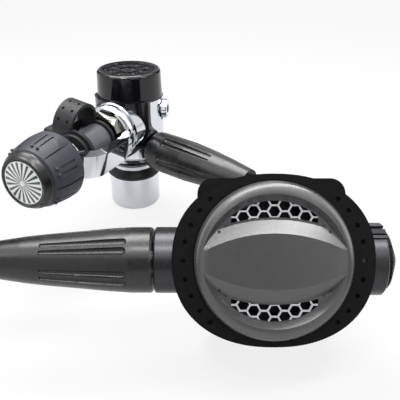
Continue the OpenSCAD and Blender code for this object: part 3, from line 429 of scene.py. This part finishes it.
# %% Badge material
RAYS, RAY_SHARE = 20, 0.46
RAY_START, RAY_END, BORDER = 1.6 * MM, 12.2 * MM, 12.7 * MM
badge_print, t, at = new_material("printed_white_badge")
xyz, angle = round_the_yoke(t, at)
turns = add(t, "ShaderNodeMath", {0: angle, 1: RAYS / math.tau}, operation="MULTIPLY")
saw = add(t, "ShaderNodeMath", {0: turns.outputs[0]}, operation="FRACT")
ray = add(t, "ShaderNodeMath", {0: saw.outputs[0], 1: RAY_SHARE}, operation="LESS_THAN")
flat_xy = add(t, "ShaderNodeCombineXYZ", {"X": xyz["X"], "Y": xyz["Y"]})
radius = add(t, "ShaderNodeVectorMath", {0: flat_xy.outputs["Vector"]}, operation="LENGTH").outputs["Value"]
inside = add(t, "ShaderNodeMath", {0: radius, 1: RAY_END}, operation="LESS_THAN")
outside = add(t, "ShaderNodeMath", {0: radius, 1: RAY_START}, operation="GREATER_THAN")
zone = add(t, "ShaderNodeMath", {0: inside.outputs[0], 1: outside.outputs[0]}, operation="MULTIPLY")
rays = add(t, "ShaderNodeMath", {0: zone.outputs[0], 1: ray.outputs[0]}, operation="MULTIPLY")
border = add(t, "ShaderNodeMath", {0: radius, 1: BORDER}, operation="GREATER_THAN")
ink = add(t, "ShaderNodeMath", {0: rays.outputs[0], 1: border.outputs[0]}, operation="MAXIMUM")
paint = add(t, "ShaderNodeMix", {"Factor": ink.outputs[0], COLOUR_A: linear("#eef1ee"),
                                 COLOUR_B: linear("#3c4a44")}, data_type="RGBA")
surface(t, {"Base Color": paint.outputs[MIXED], "Roughness": wander(t, at, 3, 0.2, 0.3),
            "Coat Weight": 0.4, "Coat Roughness": 0.08})

# %% [markdown]
# ## Each node gets its material
#
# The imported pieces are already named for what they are, so one table says
# which finish each of them has. Setting them one by one would work too, but
# a table shows at a glance which pieces share a finish and which were missed.

# %% Finishes by node
FINISHES = {
    chrome_plate: ["first_stage_body", "lower_cap", "port_plugs", "yoke", "hose_fitting", "inlet_nut",
                   "valve_barrel"],
    warm_nickel: ["yoke_retainer"],
    threaded_steel: ["yoke_screw", "adjust_screw"],
    turned_steel: ["piston", "piston_spring", "filter_clip", "diaphragm_plate", "demand_lever",
                   "poppet_spring"],
    bare_brass: ["inner_cap", "screw_tip", "orifice"],
    sintered_bronze: ["inlet_filter"],
    brushed_aluminium: ["inlet_collar", "knob_collar", "adjust_tip"],
    black_nylon: ["second_case", "bezel", "diaphragm_cover", "adjust_knob", "exhaust_tee",
                  "mouthpiece_tie"],
    gloss_black: ["top_cover", "top_cover_disc"],
    worn_black: ["knob_rim"],
    satin_grey: ["purge_cover"],
    grille_grey: ["cover_grille"],
    plug_grey: ["dust_cap_plug"],
    seat_plastic: ["valve_seat", "poppet"],
    hose_rubber: ["hose_boot_first", "hose_boot_second", "mouthpiece"],
    ring_rubber: ["bumper_ring", "piston_oring", "port_orings", "yoke_sleeve", "dust_cap_disc",
                  "dust_cap_strap"],
    knob_rubber: ["yoke_knob"],
    silicone: ["diaphragm", "exhaust_valve"],
    badge_print: ["knob_badge"],
}
for material, names in FINISHES.items():
    for name in names:
        mesh = nodes[name].data
        mesh.materials.clear()
        mesh.materials.append(material)
free_hose.data.materials.append(hose_rubber)
dressed = {name for names in FINISHES.values() for name in names}
print("without a finish:", sorted(set(nodes) - dressed - {"hose"}))

# %% [markdown]
# ## Repeated details with Geometry Nodes
#
# Two details repeat round a shape: the raised petals moulded into the disc
# on top of the first stage, and the fine ribs along the edge of the bezel.
# They could be placed by a loop, but Geometry Nodes puts one small form on
# many points in a single tree. A tree gets named inputs for its sizes, so
# the same tree serves several rings. The result is turned into a plain mesh
# afterwards, because a live modifier wouldn't survive an export.

# %% Helpers for a tree and for its mesh


def new_tree(name, sizes):
    """A Geometry Nodes tree with one geometry output and an input for each named size."""
    tree = bpy.data.node_groups.new(name, "GeometryNodeTree")
    tree.interface.new_socket("Geometry", in_out="INPUT", socket_type="NodeSocketGeometry")
    for label, kind in sizes.items():
        tree.interface.new_socket(label, in_out="INPUT", socket_type="NodeSocket" + kind)
    tree.interface.new_socket("Geometry", in_out="OUTPUT", socket_type="NodeSocketGeometry")
    return tree, add(tree, "NodeGroupInput").outputs


def close_tree(tree, instances, material):
    """Ends a tree: real geometry in place of instances, and its material."""
    real = add(tree, "GeometryNodeRealizeInstances", {"Geometry": instances})
    coated = add(tree, "GeometryNodeSetMaterial", {"Geometry": real.outputs["Geometry"],
                                                   "Material": material})
    add(tree, "NodeGroupOutput", {"Geometry": coated.outputs["Geometry"]})
    print(tree.name, "tree:", len(tree.nodes), "nodes")


def grow(tree, values):
    """Runs a tree once with these values by name, and returns its mesh."""
    carrier = bpy.data.objects.new("carrier", bpy.data.meshes.new("carrier"))
    scene.collection.objects.link(carrier)
    modifier = carrier.modifiers.new("grow", "NODES")
    modifier.node_group = tree
    sockets = {item.name: item.identifier for item in tree.interface.items_tree if item.in_out == "INPUT"}
    for label, value in values.items():
        modifier[sockets[label]] = value
    depsgraph = bpy.context.evaluated_depsgraph_get()
    plain = bpy.data.meshes.new_from_object(carrier.evaluated_get(depsgraph))
    bpy.data.objects.remove(carrier)
    return plain


def join(name, meshes, material, placing, body):
    """Puts several meshes into one piece, in place, that rides on a body.

    new_from_object leaves out the material that a tree sets, so the piece is
    given it again here.
    """
    points, faces = [], []
    for mesh in meshes:
        faces += [tuple(v + len(points) for v in face.vertices) for face in mesh.polygons]
        points += [placing @ v.co for v in mesh.vertices]
    whole = bpy.data.meshes.new(name)
    whole.from_pydata(points, [], faces)
    whole.materials.append(material)
    whole.polygons.foreach_set("use_smooth", [True] * len(faces))
    piece = bpy.data.objects.new(name, whole)
    scene.collection.objects.link(piece)
    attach(piece, body)
    print(name, len(points), "points", len(faces), "faces")


# %% A ring of petals
# Each petal is a low ellipsoid, half sunk in the disc. It is turned to its
# own place round the ring and then by the slant, like a turbine's blade.
petal_tree, given = new_tree("petal_ring", {"Count": "Int", "Ring radius": "Float", "Length": "Float",
                                            "Width": "Float", "Height": "Float", "Slant": "Float"})
ring = add(petal_tree, "GeometryNodeMeshCircle", {"Vertices": given["Count"], "Radius": given["Ring radius"]})
position = add(petal_tree, "GeometryNodeInputPosition").outputs["Position"]
place = add(petal_tree, "ShaderNodeSeparateXYZ", {"Vector": position})
around = add(petal_tree, "ShaderNodeMath", {0: place.outputs["Y"], 1: place.outputs["X"]},
             operation="ARCTAN2")
slanted = add(petal_tree, "ShaderNodeMath", {0: around.outputs[0], 1: given["Slant"]}, operation="ADD")
euler = add(petal_tree, "ShaderNodeCombineXYZ", {"Z": slanted.outputs[0]})
spin = add(petal_tree, "FunctionNodeEulerToRotation", {"Euler": euler.outputs["Vector"]})
size = add(petal_tree, "ShaderNodeCombineXYZ", {"X": given["Length"], "Y": given["Width"],
                                                "Z": given["Height"]})
ball = add(petal_tree, "GeometryNodeMeshUVSphere", {"Segments": 16, "Rings": 8, "Radius": 1.0})
petals = add(petal_tree, "GeometryNodeInstanceOnPoints", {
    "Points": ring.outputs["Mesh"], "Instance": ball.outputs["Mesh"],
    "Rotation": spin.outputs["Rotation"], "Scale": size.outputs["Vector"]})
close_tree(petal_tree, petals.outputs["Instances"], gloss_black)

# %% Petals on the first stage's disc
# The disc's highest ring stands 0.5 mm above its face. A row of the table is
# a ring's count, its radius, half a petal's length and the slant in degrees.
DISC_RING = 0.5 * MM
PETAL_WIDTH, PETAL_HEIGHT = 0.62 * MM, 0.3 * MM
PETAL_RINGS = [(6, 3.6, 1.6, 30), (16, 9.6, 1.2, 50), (16, 12.6, 1.4, -40)]
disc_face = Matrix.Translation((0, 0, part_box("top_cover_disc")[1][2] - DISC_RING))
rings = [grow(petal_tree, {"Count": count, "Ring radius": radius_mm * MM, "Length": half_mm * MM,
                           "Width": PETAL_WIDTH, "Height": PETAL_HEIGHT, "Slant": math.radians(slant)})
         for count, radius_mm, half_mm, slant in PETAL_RINGS]
join("cover_petals", rings, gloss_black, disc_face, "first_stage_and_hose")

# %% A row of ribs along an oval
# The bezel's outline is a superellipse, so the ribs start on a unit circle
# and are moved out to it. Those beside the collars and on the upper edge are
# left out, because the real edge is smooth there.
RIBS_BELOW = -17.5 * MM
rib_tree, given = new_tree("edge_ribs", {"Count": "Int", "Half width": "Float", "Half height": "Float",
                                         "Power": "Float", "Rib radius": "Float", "Rib depth": "Float"})
circle = add(rib_tree, "GeometryNodeMeshCircle", {"Vertices": given["Count"], "Radius": 1.0})
position = add(rib_tree, "GeometryNodeInputPosition").outputs["Position"]
unit = add(rib_tree, "ShaderNodeSeparateXYZ", {"Vector": position})
exponent = add(rib_tree, "ShaderNodeMath", {0: 2.0, 1: given["Power"]}, operation="DIVIDE")
moved = {}
for axis, reach in (("X", "Half width"), ("Y", "Half height")):
    flat = add(rib_tree, "ShaderNodeMath", {0: unit.outputs[axis]}, operation="ABSOLUTE")
    curved = add(rib_tree, "ShaderNodeMath", {0: flat.outputs[0], 1: exponent.outputs[0]},
                 operation="POWER")
    side = add(rib_tree, "ShaderNodeMath", {0: unit.outputs[axis]}, operation="SIGN")
    signed = add(rib_tree, "ShaderNodeMath", {0: curved.outputs[0], 1: side.outputs[0]},
                 operation="MULTIPLY")
    scaled = add(rib_tree, "ShaderNodeMath", {0: signed.outputs[0], 1: given[reach]},
                 operation="MULTIPLY")
    moved[axis] = scaled.outputs[0]
target = add(rib_tree, "ShaderNodeCombineXYZ", moved)
oval = add(rib_tree, "GeometryNodeSetPosition", {"Geometry": circle.outputs["Mesh"],
                                                 "Position": target.outputs["Vector"]})
rod = add(rib_tree, "GeometryNodeMeshCylinder", {"Vertices": 8, "Radius": given["Rib radius"],
                                                 "Depth": given["Rib depth"]}, fill_type="TRIANGLE_FAN")
height = add(rib_tree, "ShaderNodeSeparateXYZ", {"Vector": position}).outputs["Y"]
low = add(rib_tree, "ShaderNodeMath", {0: height, 1: RIBS_BELOW}, operation="LESS_THAN")
rib_row = add(rib_tree, "GeometryNodeInstanceOnPoints", {
    "Points": oval.outputs["Geometry"], "Instance": rod.outputs["Mesh"], "Selection": low.outputs[0]})
close_tree(rib_tree, rib_row.outputs["Instances"], black_nylon)

# %% Ribs on the bezel
RIB_PLANE = -9.9 * MM
ribs = grow(rib_tree, {"Count": 190, "Half width": 44.5 * MM, "Half height": 37.85 * MM, "Power": 2.25,
                       "Rib radius": 0.42 * MM, "Rib depth": 7.2 * MM})
join("bezel_ribs", [ribs], black_nylon, face_frame @ Matrix.Translation((0, 0, RIB_PLANE)),
     "second_stage")

# %% [markdown]
# ## Two pieces as welded copies
#
# A imported mesh is loose triangles, and each brings its own idea of which way
# it faces. On a wide, nearly flat face these meet in one point, and the light
# shows a spot there. A copy with its corners welded shades evenly, with its
# real edges marked sharp, so the second stage's cover gets one. The piston's
# spring gets one as well, for another reason: it is fixed at one end and
# moves at the other, so it can't ride whole on either body. Its copy stays on
# the first stage.

# %% A welded copy of a node
SHARP = math.radians(25)
WELD = 0.001 * MM


def welded_copy(node, name, material, body):
    """A piece with the node's shape, welded and smooth between sharp edges, in the node's place."""
    shape = bmesh.new()
    shape.from_mesh(nodes[node].data)
    bmesh.ops.remove_doubles(shape, verts=shape.verts, dist=WELD)
    for edge in shape.edges:
        edge.smooth = edge.is_manifold and edge.calc_face_angle(0) < SHARP
    for face in shape.faces:
        face.smooth = True
    mesh = bpy.data.meshes.new(name)
    shape.to_mesh(mesh)
    shape.free()
    if "custom_normal" in mesh.attributes:
        mesh.attributes.remove(mesh.attributes["custom_normal"])
    mesh.materials.append(material)
    piece = bpy.data.objects.new(name, mesh)
    scene.collection.objects.link(piece)
    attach(piece, body)
    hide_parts(node)
    print(name, len(mesh.vertices), "points")
    return piece


# %% Cover and spring
welded_copy("purge_cover", "purge_cover_shell", satin_grey, "purge")
stage_spring = welded_copy("piston_spring", "stage_spring", turned_steel, "first_stage_and_hose")
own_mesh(stage_spring)

# %% [markdown]
# ## Floor and light
#
# The set lies on a white table under soft light. Chrome only looks like
# chrome when it has something to mirror. Real cards round the set would do
# it, but they would also shade the lamps, so the world itself holds a bright
# studio with a few dark upright cards in it, and the camera sees plain
# white. The floor keeps a soft shadow. Mirrors see it darker than the camera
# does, so that a plated wall still shows where it ends.

# %% Floor
# The floor is part paper and part even white. The camera sees 82 percent of
# the white near the set, where the paper's shadow has to show, and all of it
# from 1.6 m out. Mirrors see half as much. Each pair is a distance in metres
# and that share.
FLOOR_HALF = 4
MIRRORED_GLOW = 0.5
GLOW_NEAR, GLOW_FAR = (0.45, 0.82), (1.6, 1.0)
floor_mesh = bpy.data.meshes.new("floor")
corners = [(x * FLOOR_HALF, y * FLOOR_HALF, 0) for x, y in ((-1, -1), (1, -1), (1, 1), (-1, 1))]
floor_mesh.from_pydata(corners, [], [(0, 1, 2, 3)])
floor = bpy.data.objects.new("floor", floor_mesh)
scene.collection.objects.link(floor)
paper, t, at = new_material("white_paper")
path = add(t, "ShaderNodeLightPath")
mirrored = add(t, "ShaderNodeMath", {0: path.outputs["Is Glossy Ray"], 1: MIRRORED_GLOW},
               operation="MULTIPLY")
seen = add(t, "ShaderNodeMath", {0: path.outputs["Is Camera Ray"], 1: mirrored.outputs[0]},
           operation="MAXIMUM")
away = add(t, "ShaderNodeVectorMath", {0: at}, operation="LENGTH").outputs["Value"]
fade = add(t, "ShaderNodeMapRange", {"Value": away, "From Min": GLOW_NEAR[0], "From Max": GLOW_FAR[0],
                                     "To Min": GLOW_NEAR[1], "To Max": GLOW_FAR[1]})
part = add(t, "ShaderNodeMath", {0: seen.outputs[0], 1: fade.outputs["Result"]}, operation="MULTIPLY")
diffuse = add(t, "ShaderNodeBsdfDiffuse", {"Color": linear("#dedee0")})
glow = add(t, "ShaderNodeEmission", {"Color": (1, 1, 1, 1), "Strength": 1.0})
both = add(t, "ShaderNodeMixShader", {0: part.outputs[0], 1: diffuse.outputs[0], 2: glow.outputs[0]})
add(t, "ShaderNodeOutputMaterial", {"Surface": both.outputs[0]})
floor_mesh.materials.append(paper)
print("floor:", 2 * FLOOR_HALF, "m wide")

# %% World
# The cards stand round the horizon. Each stop is a share of a full turn, from
# the direction -X through -Y, +X and +Y, and how bright the room is there.
# Above them the ceiling is brighter than white. What reaches the set without
# a mirror is one dim even light, so the cards shade nothing.
CARDS = [
    (0.0, 0.95), (0.06, 0.95), (0.075, 0.04), (0.12, 0.04), (0.14, 1.0), (0.205, 1.0), (0.222, 0.28),
    (0.278, 0.28), (0.295, 1.0), (0.36, 1.0), (0.375, 0.05), (0.42, 0.05), (0.44, 1.0), (0.6, 1.0),
    (0.62, 0.12), (0.69, 0.12), (0.71, 1.0), (0.745, 1.0), (0.755, 0.25), (0.78, 0.25), (0.788, 1.0),
    (0.8, 1.0), (0.82, 0.08), (0.87, 0.08), (0.9, 0.95), (1.0, 0.95)]
CARD_TOP, CEILING_FROM = 0.62, 0.72
CEILING, WHITE, DIM = (2.6, 2.6, 2.6, 1), (1, 1, 1, 1), (0.3, 0.3, 0.306, 1)
COOL = 1.02
world = bpy.data.worlds.new("studio")
scene.world = world
world.use_nodes = True
t = world.node_tree
t.nodes.clear()
way = add(t, "ShaderNodeTexCoord").outputs["Generated"]
axes = add(t, "ShaderNodeSeparateXYZ", {"Vector": way})
turn = add(t, "ShaderNodeMath", {0: axes.outputs["Y"], 1: axes.outputs["X"]}, operation="ARCTAN2")
share = add(t, "ShaderNodeMapRange", {"Value": turn.outputs[0], "From Min": -math.pi, "From Max": math.pi})
cards = add(t, "ShaderNodeValToRGB", {"Fac": share.outputs["Result"]})
ramp = cards.color_ramp
for i, (at_share, value) in enumerate(CARDS):
    stop = ramp.elements[i] if i < 2 else ramp.elements.new(at_share)
    stop.position = at_share
    stop.color = (value, value, value * COOL, 1)
high = add(t, "ShaderNodeMapRange", {"Value": axes.outputs["Z"], "From Min": CARD_TOP,
                                     "From Max": CEILING_FROM})
studio = add(t, "ShaderNodeMix", {"Factor": high.outputs["Result"], COLOUR_A: cards.outputs["Color"],
                                  COLOUR_B: CEILING}, data_type="RGBA")
path = add(t, "ShaderNodeLightPath")
see_white = add(t, "ShaderNodeMix", {"Factor": path.outputs["Is Camera Ray"],
                                     COLOUR_A: studio.outputs[MIXED], COLOUR_B: WHITE}, data_type="RGBA")
background = add(t, "ShaderNodeBackground", {"Color": see_white.outputs[MIXED], "Strength": 1.0})
dim = add(t, "ShaderNodeBackground", {"Color": DIM, "Strength": 1.0})
clear_ray = add(t, "ShaderNodeMath", {0: path.outputs["Is Camera Ray"], 1: path.outputs["Is Glossy Ray"]},
                operation="MAXIMUM")
sky = add(t, "ShaderNodeMixShader", {0: clear_ray.outputs[0], 1: dim.outputs[0], 2: background.outputs[0]})
add(t, "ShaderNodeOutputWorld", {"Surface": sky.outputs[0]})
print("studio:", len(ramp.elements), "stops round the horizon")

# %% Lamps
# Four soft boxes: a narrow one above the front, for streaks on the round
# pieces, a wide one above the back, and a weak one at each side.


def softbox(name, size, power, place, aim):
    """A rectangular lamp of a size in metres and a power in watts, pointed at a place."""
    lamp = bpy.data.lights.new(name, "AREA")
    lamp.shape = "RECTANGLE"
    lamp.size, lamp.size_y = size
    lamp.energy = power
    made = bpy.data.objects.new(name, lamp)
    scene.collection.objects.link(made)
    made.location = place
    made.rotation_euler = (Vector(aim) - Vector(place)).to_track_quat("-Z", "Y").to_euler()
    print(name, power, "W")


softbox("strip_light", (0.9, 0.12), 5.0, (0.14, -0.33, 0.85), (0.08, -0.17, 0.06))
softbox("top_light", (0.7, 0.35), 7.5, (-0.14, 0.2, 0.85), (0.05, -0.12, 0.03))
softbox("left_light", (0.4, 0.7), 2.2, (-0.8, -0.5, 0.5), (0.0, -0.1, 0.05))
softbox("right_light", (0.3, 0.6), 1.8, (0.9, -0.45, 0.5), (0.05, -0.15, 0.04))

# %% Finish
# Standard shows each colour about as it is written, where the default view
# would soften the white table to grey.
scene.view_settings.view_transform = "Standard"
